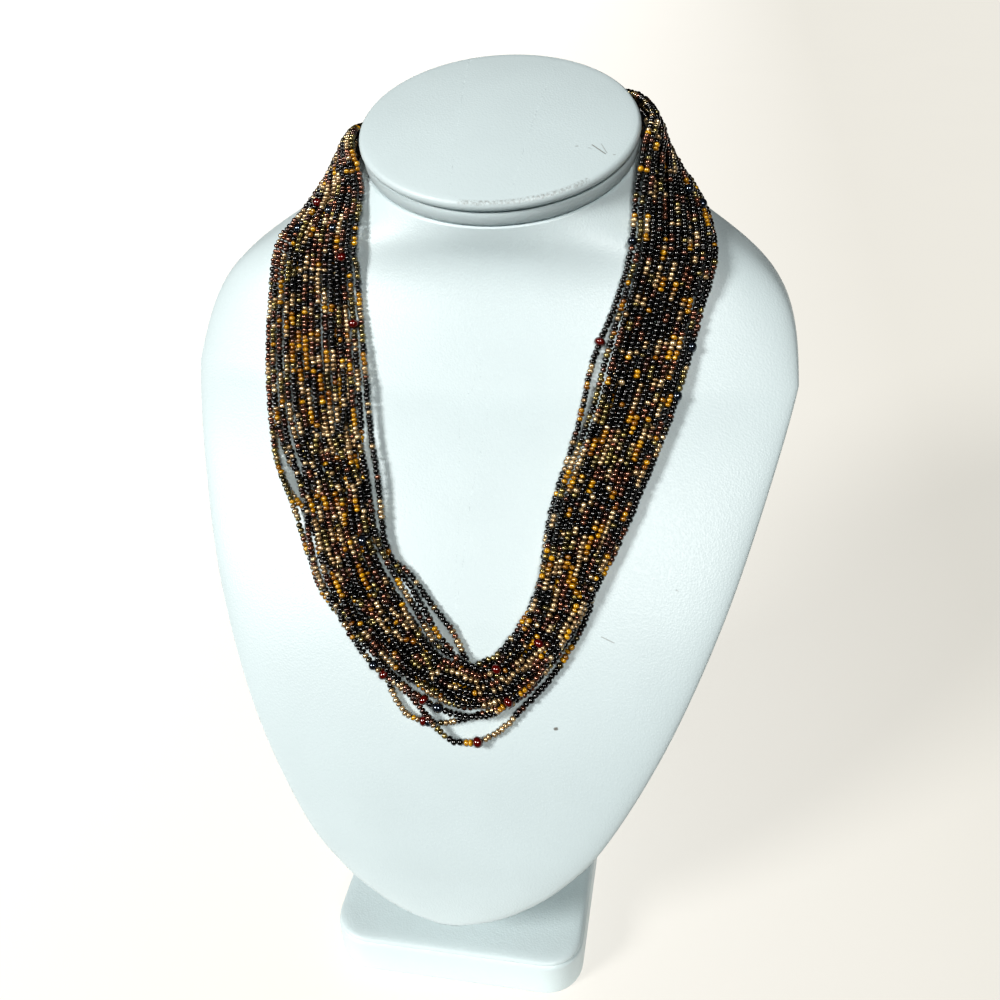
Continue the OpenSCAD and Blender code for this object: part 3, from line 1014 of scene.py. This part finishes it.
@dataclass(frozen=True)
class Closure:
    """Wrapped ends, bare thread and clasp behind the neck, in millimetres."""

    left_end: tuple[float, float, float] = (-34, 99.8, 225)
    wrap_tip_left: tuple[float, float, float] = (-26.3, 104.2, 226.5)
    clasp_left: tuple[float, float, float] = (-12, 106, 230)
    clasp_right: tuple[float, float, float] = (2, 107, 233)
    wrap_tip_right: tuple[float, float, float] = (11, 108.3, 234.5)
    right_end: tuple[float, float, float] = (19.5, 106, 235.5)
    wrap_d: float = 8.0
    # how far the wrap tapers at its ends, as a share; its thread and how often that goes round
    wrap_taper: float = 0.16
    wound_d: float = 0.26
    wrap_turns: float = 11.0
    thread_d: float = 1.4
    strand_r: float = 0.335
    twist_pitch: float = 3.4
    clasp_d: float = 4.6
    seat_gap: float = 0.3

    def span(self, start: tuple[float, ...], stop: tuple[float, ...],
             gap: float) -> tuple[np.ndarray, np.ndarray]:
        """Ends of a straight piece that stays clear of its neighbours.

        Args:
            start: Where the first neighbour ends.
            stop: Where the second neighbour starts.
            gap: How far the piece stays clear of both.

        Returns:
            The piece's two ends.
        """
        a, b = np.array(start, float), np.array(stop, float)
        run = unit(b - a)
        return a + run * gap, b - run * gap

    def lathe(self, start: tuple[float, ...], stop: tuple[float, ...], gap: float,
              at: np.ndarray, radius: np.ndarray) -> np.ndarray:
        """Rings of a turned or wound form between two points.

        Args:
            start: Where it starts.
            stop: Where it ends.
            gap: How far it stays clear of both.
            at: Place of each ring, 0 to 1.
            radius: Radius at each ring and side.

        Returns:
            Rings of points.
        """
        a, b = self.span(start, stop, gap)
        first, second = around(unit(b - a))
        angle = np.arange(radius.shape[1]) * math.tau / radius.shape[1]
        spoke = first * np.cos(angle)[:, None] + second * np.sin(angle)[:, None]
        return a + (b - a) * at[:, None, None] + spoke[None] * radius[..., None]

    def wrap(self, start: tuple[float, ...], stop: tuple[float, ...]) -> np.ndarray:
        """Rings of thread wound round an end of the band.

        Args:
            start: The end of the band.
            stop: The tip of the knot.

        Returns:
            Rings of points.
        """
        at, sides = np.linspace(0, 1, 121), 40
        angle = np.arange(sides) * math.tau / sides
        body = self.wrap_d / 2 * (1 - self.wrap_taper * np.abs(2 * at - 1) ** 3)
        wound = self.wound_d * np.abs(np.sin(np.pi * self.wrap_turns * at[:, None] + angle / 2))
        return self.lathe(start, stop, self.seat_gap, at, body[:, None] - self.wound_d + wound)

    def twist(self, start: tuple[float, ...], stop: tuple[float, ...]) -> list[np.ndarray]:
        """Tubes of three threads twisted round each other.

        Args:
            start: Where they start.
            stop: Where they end.

        Returns:
            Rings of points of each tube.
        """
        a, b = self.span(start, stop, self.seat_gap / 3)
        first, second = around(unit(b - a))
        at = np.linspace(0, 1, 60)[:, None]
        tubes = []
        for k in range(3):
            angle = (np.linalg.norm(b - a) / self.twist_pitch * at + k / 3) * math.tau
            offset = self.thread_d / 2 - self.strand_r
            line = a + (b - a) * at + offset * (first * np.cos(angle) + second * np.sin(angle))
            tubes.append(tube(line, self.strand_r, 8))
        return tubes

    def barrel(self) -> np.ndarray:
        """Rings of the screw clasp: two ribbed halves and a groove between them.

        Returns:
            Rings of points.
        """
        # place and radius, as shares of the clasp's length and half its diameter
        profile = np.array([(0, 0.30), (0.015, 0.42), (0.05, 0.46), (0.07, 0.70), (0.10, 0.86),
                            (0.15, 0.96), (0.19, 0.98), (0.20, 0.90), (0.215, 0.90), (0.225, 0.99),
                            (0.33, 1.0), (0.44, 1.0), (0.455, 0.97), (0.465, 0.88), (0.485, 0.88),
                            (0.495, 0.97), (0.51, 1.0), (0.62, 1.0), (0.775, 0.99), (0.785, 0.90),
                            (0.80, 0.90), (0.81, 0.98), (0.85, 0.96), (0.90, 0.86), (0.93, 0.70),
                            (0.95, 0.46), (0.985, 0.42), (1, 0.30)])
        radius = np.repeat(profile[:, 1:] * self.clasp_d / 2, 48, axis=1)
        return self.lathe(self.clasp_left, self.clasp_right, self.seat_gap, profile[:, 0], radius)

    def build(self, thread: bpy.types.Material,
              metal: bpy.types.Material) -> list[bpy.types.Object]:
        """Builds the closure.

        Args:
            thread: Material of the thread.
            metal: Material of the clasp.

        Returns:
            The pieces.
        """
        made = {
            "end_wrap_left": [self.wrap(self.left_end, self.wrap_tip_left)],
            "end_wrap_right": [self.wrap(self.right_end, self.wrap_tip_right)],
            "back_thread_left": self.twist(self.wrap_tip_left, self.clasp_left),
            "back_thread_right": self.twist(self.clasp_right, self.wrap_tip_right),
            "clasp": [self.barrel()],
        }
        pieces = []
        for node, skins in made.items():
            slot, material = ("clasp", metal) if node == "clasp" else ("thread", thread)
            pieces.append(add_piece(f"made_{node}", joined(f"made_{node}", skins), (node,),
                                    [material]))
        return pieces


# finishes


Value = float | tuple[float, ...] | bpy.types.NodeSocket


class Graph:
    """One node tree, with a short way to add nodes to it."""

    def __init__(self, tree: bpy.types.NodeTree) -> None:
        """Takes the tree to work in."""
        self.tree = tree

    def add(self, kind: str, inputs: dict[str | int, Value] | None = None,
            **settings: str | bool | bpy.types.NodeTree) -> bpy.types.Node:
        """Adds a node.

        Args:
            kind: Its type, without the words that all shader nodes start with.
            inputs: A value, or another node's output, for each socket that needs one.
            settings: The node's own settings.

        Returns:
            The new node.
        """
        node = self.tree.nodes.new("ShaderNode" + kind)
        for name, value in settings.items():
            setattr(node, name, value)
        for socket, value in (inputs or {}).items():
            self.set(node, socket, value)
        return node

    def set(self, node: bpy.types.Node, socket: str | int, value: Value) -> None:
        """Gives a socket a value or a link.

        Args:
            node: The socket's node.
            socket: Name or number of the socket.
            value: A value, or another node's output.
        """
        if isinstance(value, bpy.types.NodeSocket):
            self.tree.links.new(value, node.inputs[socket])
        else:
            node.inputs[socket].default_value = value

    def math(self, operation: str, *values: Value) -> bpy.types.NodeSocket:
        """Adds a sum and gives its result."""
        return self.add("Math", dict(enumerate(values)), operation=operation).outputs[0]

    def vector(self, operation: str, *values: Value) -> bpy.types.Node:
        """Adds a vector sum and gives its node."""
        return self.add("VectorMath", dict(enumerate(values)), operation=operation)

    def ramp(self, value: Value, low: float, high: float, first: float = 0,
             last: float = 1) -> bpy.types.NodeSocket:
        """Maps a value that runs from low to high to one from first to last, and clamps it."""
        names = ("Value", "From Min", "From Max", "To Min", "To Max")
        return self.add("MapRange", dict(zip(names, (value, low, high, first, last)))).outputs[0]

    def mix(self, share: Value, first: Value, second: Value) -> bpy.types.NodeSocket:
        """Mixes two colours."""
        return self.add("Mix", {"Factor": share, "A": first, "B": second},
                        data_type="RGBA").outputs["Result"]


def new_group(name: str, inputs: dict[str, str], outputs: dict[str, str]
              ) -> tuple[Graph, bpy.types.Node, bpy.types.Node]:
    """Starts a shader node group.

    Args:
        name: Its name.
        inputs: Names and kinds of its inputs.
        outputs: Names and kinds of its outputs.

    Returns:
        The group's graph, its input node and its output node.
    """
    tree = bpy.data.node_groups.new(name, "ShaderNodeTree")
    for way, sockets in (("INPUT", inputs), ("OUTPUT", outputs)):
        for socket, kind in sockets.items():
            tree.interface.new_socket(name=socket, in_out=way, socket_type="NodeSocket" + kind)
    return Graph(tree), tree.nodes.new("NodeGroupInput"), tree.nodes.new("NodeGroupOutput")


def new_material(name: str) -> tuple[bpy.types.Material, Graph, bpy.types.Node]:
    """Starts a material.

    Args:
        name: Its name.

    Returns:
        The material, its graph and its shader.
    """
    material = bpy.data.materials.new(name)
    material.use_nodes = True
    return material, Graph(material.node_tree), material.node_tree.nodes["Principled BSDF"]


@dataclass(frozen=True)
class Effects:
    """Shader node groups that the materials share."""

    grain: bpy.types.NodeTree
    lustre: bpy.types.NodeTree
    line: bpy.types.NodeTree

    @classmethod
    def make(cls) -> "Effects":
        """Makes the groups."""
        return cls(cls.grain_group(), cls.lustre_group(), cls.line_group())

    @staticmethod
    def grain_group() -> bpy.types.NodeTree:
        """Makes the group for a fine pebbled grain.

        Returns:
            The group, which gives the grain's height and slow patches from 0 to 1.
        """
        graph, given, result = new_group("fine grain", {"Scale": "Float"},
                                         {"Height": "Float", "Patches": "Float"})
        place = graph.add("TexCoord").outputs["Object"]
        scale = given.outputs["Scale"]
        cells = graph.add("TexVoronoi", {"Vector": place, "Scale": scale}, feature="F1")
        fine = graph.add("TexNoise", {"Vector": place, "Scale": graph.math("MULTIPLY", scale, 1.7),
                                      "Detail": 3.0})
        patches = graph.add("TexNoise", {"Vector": place, "Detail": 2.0,
                                         "Scale": graph.math("MULTIPLY", scale, 0.03)})
        height = graph.math("ADD", graph.math("MULTIPLY", cells.outputs["Distance"], 0.6),
                            graph.math("MULTIPLY", fine.outputs["Fac"], 0.5))
        graph.set(result, "Height", height)
        graph.set(result, "Patches", graph.ramp(patches.outputs["Fac"], 0.3, 0.7))
        return graph.tree

    @staticmethod
    def lustre_group() -> bpy.types.NodeTree:
        """Makes the group for the colour of a glass bead, with painted shade towards its rim.

        Returns:
            The group, which gives the bead's colour and roughness from its own tone, the colour
            darkened by painted shade where the bead faces away from the view.
        """
        graph, given, result = new_group(
            "bead lustre", {"Dark": "Color", "Light": "Color", "Painted rim shade": "Color", "Facing": "Float"},
            {"Color": "Color", "Roughness": "Float"})
        tone = graph.add("Attribute", attribute_name="tone").outputs["Fac"]
        body = graph.mix(tone, given.outputs["Dark"], given.outputs["Light"])
        # painted shade: towards the rim, where the bead faces away from the view, the colour turns
        # to the rim colour
        rim = graph.ramp(given.outputs["Facing"], 0.18, 0.66)
        graph.set(result, "Color", graph.mix(rim, body, given.outputs["Painted rim shade"]))
        graph.set(result, "Roughness", graph.ramp(tone, 0, 1, 0.03, 0.09))
        return graph.tree

    @staticmethod
    def line_group() -> bpy.types.NodeTree:
        """Makes the group for a thin line between two places.

        Returns:
            The group, which gives 1 on the line and 0 beside it.
        """
        graph, given, result = new_group(
            "thin line", {"Start": "Vector", "End": "Vector", "Width": "Float"}, {"Mask": "Float"})
        place = graph.add("TexCoord").outputs["Object"]
        start = given.outputs["Start"]
        way = graph.vector("SUBTRACT", given.outputs["End"], start).outputs["Vector"]
        apart = graph.vector("SUBTRACT", place, start).outputs["Vector"]
        share = graph.math("DIVIDE", graph.vector("DOT_PRODUCT", apart, way).outputs["Value"],
                           graph.vector("DOT_PRODUCT", way, way).outputs["Value"])
        nearest = graph.add("VectorMath", {0: way, 3: graph.ramp(share, 0, 1)}, operation="SCALE")
        away = graph.vector("DISTANCE", apart, nearest.outputs["Vector"]).outputs["Value"]
        mask = graph.ramp(graph.math("DIVIDE", away, given.outputs["Width"]), 0.35, 1, 1, 0)
        graph.set(result, "Mask", mask)
        return graph.tree


@dataclass(frozen=True)
class GlassFinish:
    """Look of one kind of bead: the colours that its beads range between, the painted shade at its
    rim, its gloss.
    """

    name: str
    dark: tuple[float, float, float]
    light: tuple[float, float, float]
    # colour of the painted shade at the bead's rim
    rim: tuple[float, float, float]
    metallic: float = 0.0
    ior: float = 1.5
    coat_ior: float = 1.85
    coat_roughness: float = 0.03

    def make(self, effects: Effects) -> bpy.types.Material:
        """Makes the material.

        Args:
            effects: The shared node groups.

        Returns:
            The new material.
        """
        material, graph, shader = new_material(self.name)
        for socket, value in (("Metallic", self.metallic), ("IOR", self.ior),
                              ("Coat Weight", 1.0), ("Coat IOR", self.coat_ior),
                              ("Coat Roughness", self.coat_roughness)):
            graph.set(shader, socket, value)
        # how far the bead faces away from the view drives its painted rim shade
        facing = graph.add("LayerWeight", {"Blend": 0.5}).outputs["Facing"]
        lustre = graph.add("Group", node_tree=effects.lustre)
        for socket, value in (("Dark", (*self.dark, 1)), ("Light", (*self.light, 1)),
                              ("Painted rim shade", (*self.rim, 1)), ("Facing", facing)):
            graph.set(lustre, socket, value)
        graph.set(shader, "Base Color", lustre.outputs["Color"])
        graph.set(shader, "Roughness", lustre.outputs["Roughness"])
        return material


# each finish: the darkest and lightest colour of its beads, then the colour of the painted shade
# at their rims
GLASS = {
    BeadFinish.BLACK: GlassFinish("black glass", (0.001, 0.001, 0.001), (0.005, 0.004, 0.004),
                                  (0.001, 0.001, 0.001)),
    BeadFinish.GOLD: GlassFinish("champagne lustre glass", (0.36, 0.23, 0.10), (0.95, 0.74, 0.45),
                                 (0.03, 0.012, 0.003), metallic=0.5),
    BeadFinish.AMBER: GlassFinish("amber glass", (0.24, 0.085, 0.003), (0.78, 0.44, 0.02),
                                  (0.08, 0.018, 0.001)),
    BeadFinish.BRONZE: GlassFinish("bronze lustre glass", (0.05, 0.014, 0.007),
                                   (0.36, 0.155, 0.085), (0.005, 0.001, 0.001), metallic=0.6),
    BeadFinish.OLIVE: GlassFinish("olive lustre glass", (0.06, 0.045, 0.012), (0.48, 0.38, 0.13),
                                  (0.003, 0.002, 0.001), metallic=0.6),
    BeadFinish.GUNMETAL: GlassFinish("gunmetal lustre glass", (0.012, 0.018, 0.03),
                                     (0.07, 0.105, 0.16), (0.001, 0.002, 0.003), metallic=0.7),
    BeadFinish.GARNET: GlassFinish("garnet glass", (0.08, 0.003, 0.001), (0.22, 0.010, 0.004),
                                   (0.008, 0.001, 0.001)),
    BeadFinish.BROWN: GlassFinish("brown glass", (0.008, 0.003, 0.002), (0.03, 0.012, 0.006),
                                  (0.001, 0.001, 0.001)),
}


@dataclass(frozen=True)
class Mark:
    """Scratch, hair or speck on the cover: its ends and width in millimetres, and its strength."""

    start: tuple[float, float, float]
    end: tuple[float, float, float]
    width: float
    strength: float


MARKS = (
    # scratches on the cap
    Mark((30.0, 57.6, 236.3), (34.2, 54.8, 234.6), 0.28, 0.75),
    Mark((32.6, 58.4, 236.6), (34.6, 55.2, 234.8), 0.25, 0.6),
    Mark((29.2, 56.2, 236.0), (30.4, 56.0, 235.9), 0.35, 0.5),
    Mark((25.8, 50.5, 233.6), (24.3, 43.2, 230.0), 0.22, 0.3),
    Mark((25.4, 56.3, 236.3), (25.9, 56.4, 236.3), 0.35, 0.4),
    Mark((36.6, 54.9, 234.4), (37.0, 55.0, 234.4), 0.35, 0.4),
    # specks and a hair on the chest
    Mark((31.0, -39.1, 95.9), (31.4, -39.1, 96.0), 0.62, 0.95),
    Mark((42.6, -24.3, 119.2), (46.2, -24.8, 117.8), 0.24, 0.45),
    Mark((59.9, -23.6, 112.6), (60.8, -24.2, 111.3), 0.34, 0.6),
    Mark((62.8, -13.6, 129.9), (63.2, -13.7, 129.8), 0.36, 0.4),
)


@dataclass(frozen=True)
class LeatheretteFinish:
    """White grained leatherette with a few old marks."""

    name: str = "white leatherette"
    colour: tuple[float, float, float] = (0.69, 0.785, 0.805)
    grime_colour: tuple[float, float, float] = (0.20, 0.19, 0.17)
    grain_scale: float = 1500.0
    marks: tuple[Mark, ...] = MARKS
    streak_scale: float = 1400.0
    grime_width: float = 1.1
    grime_strength: float = 0.6
    patchiness: float = 0.025
    grain_strength: float = 0.34

    def make(self, effects: Effects, grime_line: np.ndarray) -> bpy.types.Material:
        """Makes the material.

        Args:
            effects: The shared node groups.
            grime_line: Places in millimetres that a streak of grime runs through.

        Returns:
            The new material.
        """
        material, graph, shader = new_material(self.name)
        grain = graph.add("Group", {"Scale": self.grain_scale}, node_tree=effects.grain)
        place = graph.add("TexCoord").outputs["Object"]
        streaks = graph.add("TexNoise", {"Vector": place, "Scale": self.streak_scale,
                                         "Detail": 2.0})
        dirt: Value = 0.0
        for start, end in zip(grime_line[:-1], grime_line[1:]):
            streak = self.line(graph, effects, start, end, self.grime_width)
            dirt = graph.math("MAXIMUM", dirt, streak)
        worn = graph.ramp(streaks.outputs["Fac"], 0.35, 0.75)
        stain = graph.math("MULTIPLY", graph.math("MULTIPLY", dirt, worn), self.grime_strength)
        for mark in self.marks:
            mask = self.line(graph, effects, mark.start, mark.end, mark.width)
            stain = graph.math("MAXIMUM", stain, graph.math("MULTIPLY", mask, mark.strength))
        dull = tuple((1 - self.patchiness) * c for c in self.colour)
        pale = graph.mix(grain.outputs["Patches"], (*dull, 1), (*self.colour, 1))
        graph.set(shader, "Base Color", graph.mix(stain, pale, (*self.grime_colour, 1)))
        graph.set(shader, "Roughness", graph.ramp(grain.outputs["Height"], 0.2, 0.7, 0.5, 0.38))
        bump = graph.add("Bump", {"Strength": self.grain_strength, "Distance": 0.2 * MM,
                                  "Height": grain.outputs["Height"]})
        graph.set(shader, "Normal", bump.outputs["Normal"])
        return material

    def line(self, graph: Graph, effects: Effects, start: tuple[float, ...] | np.ndarray,
             end: tuple[float, ...] | np.ndarray, width: float) -> bpy.types.NodeSocket:
        """Adds the mask of one thin line, whose ends and width are in millimetres."""
        return graph.add("Group", {"Start": tuple(float(v) * MM for v in start),
                                   "End": tuple(float(v) * MM for v in end),
                                   "Width": width * MM}, node_tree=effects.line).outputs["Mask"]


@dataclass(frozen=True)
class ThreadFinish:
    """Dark waxed thread."""

    name: str = "dark thread"
    colour: tuple[float, float, float] = (0.016, 0.013, 0.010)
    grain_scale: float = 3000.0

    def make(self, effects: Effects) -> bpy.types.Material:
        """Makes the material.

        Args:
            effects: The shared node groups.

        Returns:
            The new material.
        """
        material, graph, shader = new_material(self.name)
        grain = graph.add("Group", {"Scale": self.grain_scale}, node_tree=effects.grain)
        graph.set(shader, "Base Color", graph.mix(grain.outputs["Height"], (*self.colour, 1),
                                                  tuple(3 * c for c in self.colour) + (1,)))
        graph.set(shader, "Roughness", 0.55)
        bump = graph.add("Bump", {"Strength": 0.3, "Distance": 0.1 * MM,
                                  "Height": grain.outputs["Height"]})
        graph.set(shader, "Normal", bump.outputs["Normal"])
        return material


@dataclass(frozen=True)
class MetalFinish:
    """Satin metal of the clasp."""

    name: str = "satin clasp metal"
    colour: tuple[float, float, float] = (0.55, 0.53, 0.50)
    grain_scale: float = 2000.0

    def make(self, effects: Effects) -> bpy.types.Material:
        """Makes the material.

        Args:
            effects: The shared node groups.

        Returns:
            The new material.
        """
        material, graph, shader = new_material(self.name)
        grain = graph.add("Group", {"Scale": self.grain_scale}, node_tree=effects.grain)
        graph.set(shader, "Base Color", (*self.colour, 1))
        graph.set(shader, "Metallic", 1.0)
        graph.set(shader, "Roughness", graph.ramp(grain.outputs["Height"], 0.2, 0.8, 0.24, 0.42))
        return material


# studio


@dataclass(frozen=True)
class Studio:
    """Floor, lights and camera, in millimetres and degrees."""

    eye: tuple[float, float, float] = (65.1, -269.3, 321.9)
    pitch: float = 32.34
    roll: float = -2.51
    yaw: float = -11.63
    lens: float = 39.6
    sensor: float = 36.0
    floor_front: float = -110.0
    floor_reach: float = 4000.0
    # colours of the paper and its glow at the left and the right; the glow is painted light,
    # brighter at the left towards the key lamp, and it also lightens the floor's shadows
    paper: tuple[tuple[float, ...], ...] = ((0.257, 0.25, 0.232, 1), (0.263, 0.256, 0.238, 1))
    painted_glow: tuple[tuple[float, ...], ...] = ((0.62, 0.61, 0.59, 1), (0.45, 0.44, 0.41, 1))
    painted_glow_from: float = -250.0
    painted_glow_to: float = 200.0
    lamp_angle: float = 17.0
    lamp_colour: tuple[float, float, float] = (1.0, 0.985, 0.96)
    # side that each lamp shines from, and its strength
    key: tuple[tuple[float, float, float], float] = ((-640, -620, 540), 1.85)
    side: tuple[tuple[float, float, float], float] = ((240, -680, 620), 1.2)
    daylight: float = 0.02
    daylight_colour: tuple[float, ...] = (0.95, 0.98, 1.0, 1)

    def camera(self) -> bpy.types.Object:
        """Places the camera at the photo's viewpoint.

        Returns:
            The camera.
        """
        yaw, pitch, roll = (math.radians(a) for a in (self.yaw, self.pitch, self.roll))
        ahead = Vector((math.sin(yaw) * math.cos(pitch), math.cos(yaw) * math.cos(pitch),
                        -math.sin(pitch)))
        right = Vector((math.cos(yaw), -math.sin(yaw), 0))
        up = right.cross(ahead)
        tilted = right * math.cos(roll) + up * math.sin(roll)
        top = up * math.cos(roll) - right * math.sin(roll)
        data = bpy.data.cameras.new("camera")
        data.lens = self.lens
        data.sensor_width = self.sensor
        data.clip_start, data.clip_end = 0.01, 20
        camera = bpy.data.objects.new("camera", data)
        bpy.context.scene.collection.objects.link(camera)
        turn = Matrix((tilted, top, -ahead)).transposed()
        camera.matrix_world = Matrix.Translation(Vector(self.eye) * MM) @ turn.to_4x4()
        bpy.context.scene.camera = camera
        return camera

    def floor(self) -> bpy.types.Object:
        """Lays the pale sheet that the bust stands on; most of its brightness is a painted glow,
        brighter at the left.

        Returns:
            The sheet.
        """
        reach, front = self.floor_reach * MM, self.floor_front * MM
        mesh = bpy.data.meshes.new("floor")
        mesh.from_pydata([(-reach, front, 0), (reach, front, 0), (reach, reach, 0),
                          (-reach, reach, 0)], [], [(0, 1, 2, 3)])
        floor = bpy.data.objects.new("floor", mesh)
        bpy.context.scene.collection.objects.link(floor)
        material, graph, shader = new_material("cream paper")
        place = graph.add("TexCoord").outputs["Object"]
        mottle = graph.add("TexNoise", {"Vector": place, "Scale": 9.0, "Detail": 4.0})
        graph.set(shader, "Base Color",
                  graph.mix(graph.ramp(mottle.outputs["Fac"], 0.3, 0.7), *self.paper))
        graph.set(shader, "Roughness", 0.9)
        across = graph.add("SeparateXYZ", {"Vector": place}).outputs["X"]
        share = graph.ramp(across, self.painted_glow_from * MM, self.painted_glow_to * MM)
        # painted light: the dim paper glows, brighter at the left than at the right
        graph.set(shader, "Emission Color", graph.mix(share, *self.painted_glow))
        graph.set(shader, "Emission Strength", 1.0)
        mesh.materials.append(material)
        return floor

    def lamp(self, name: str, place: tuple[float, float, float],
             strength: float) -> bpy.types.Object:
        """Adds one far lamp that shines on the whole scene.

        Args:
            name: Name of the lamp.
            place: The side that it shines from.
            strength: Its strength.

        Returns:
            The lamp.
        """
        data = bpy.data.lights.new(name, "SUN")
        data.energy = strength
        data.angle = math.radians(self.lamp_angle)
        data.color = self.lamp_colour
        lamp = bpy.data.objects.new(name, data)
        bpy.context.scene.collection.objects.link(lamp)
        lamp.location = Vector(place) * MM
        lamp.rotation_euler = lamp.location.to_track_quat("Z", "Y").to_euler()
        return lamp

    def build(self) -> None:
        """Sets up the whole studio."""
        self.camera()
        self.floor()
        self.lamp("key light", *self.key)
        self.lamp("side light", *self.side)
        world = bpy.data.worlds.new("daylight")
        world.use_nodes = True
        background = world.node_tree.nodes["Background"]
        background.inputs["Color"].default_value = self.daylight_colour
        background.inputs["Strength"].default_value = self.daylight
        bpy.context.scene.world = world
        bpy.context.scene.view_settings.view_transform = "Standard"
        bpy.context.scene.view_settings.look = "High Contrast"


def main() -> None:
    """Builds the object and the studio round it."""
    logging.basicConfig(level=logging.INFO, format="%(message)s")
    Studio().build()
    effects = Effects.make()
    bust = NeckBust()
    thread = ThreadFinish().make(effects)
    pieces = bust.build(LeatheretteFinish().make(effects, bust.rim_line(*bust.grime)))
    pieces += BeadStrands().build([GLASS[finish].make(effects) for finish in BeadFinish], thread)
    pieces += Closure().build(thread, MetalFinish().make(effects))
    triangles = 0
    for piece in pieces:
        count = sum(len(face.vertices) - 2 for face in piece.data.polygons)
        triangles += count
        log.info("%s: %d triangles", piece.name, count)
    log.info("%d triangles in all", triangles)


if __name__ == "__main__":
    main()
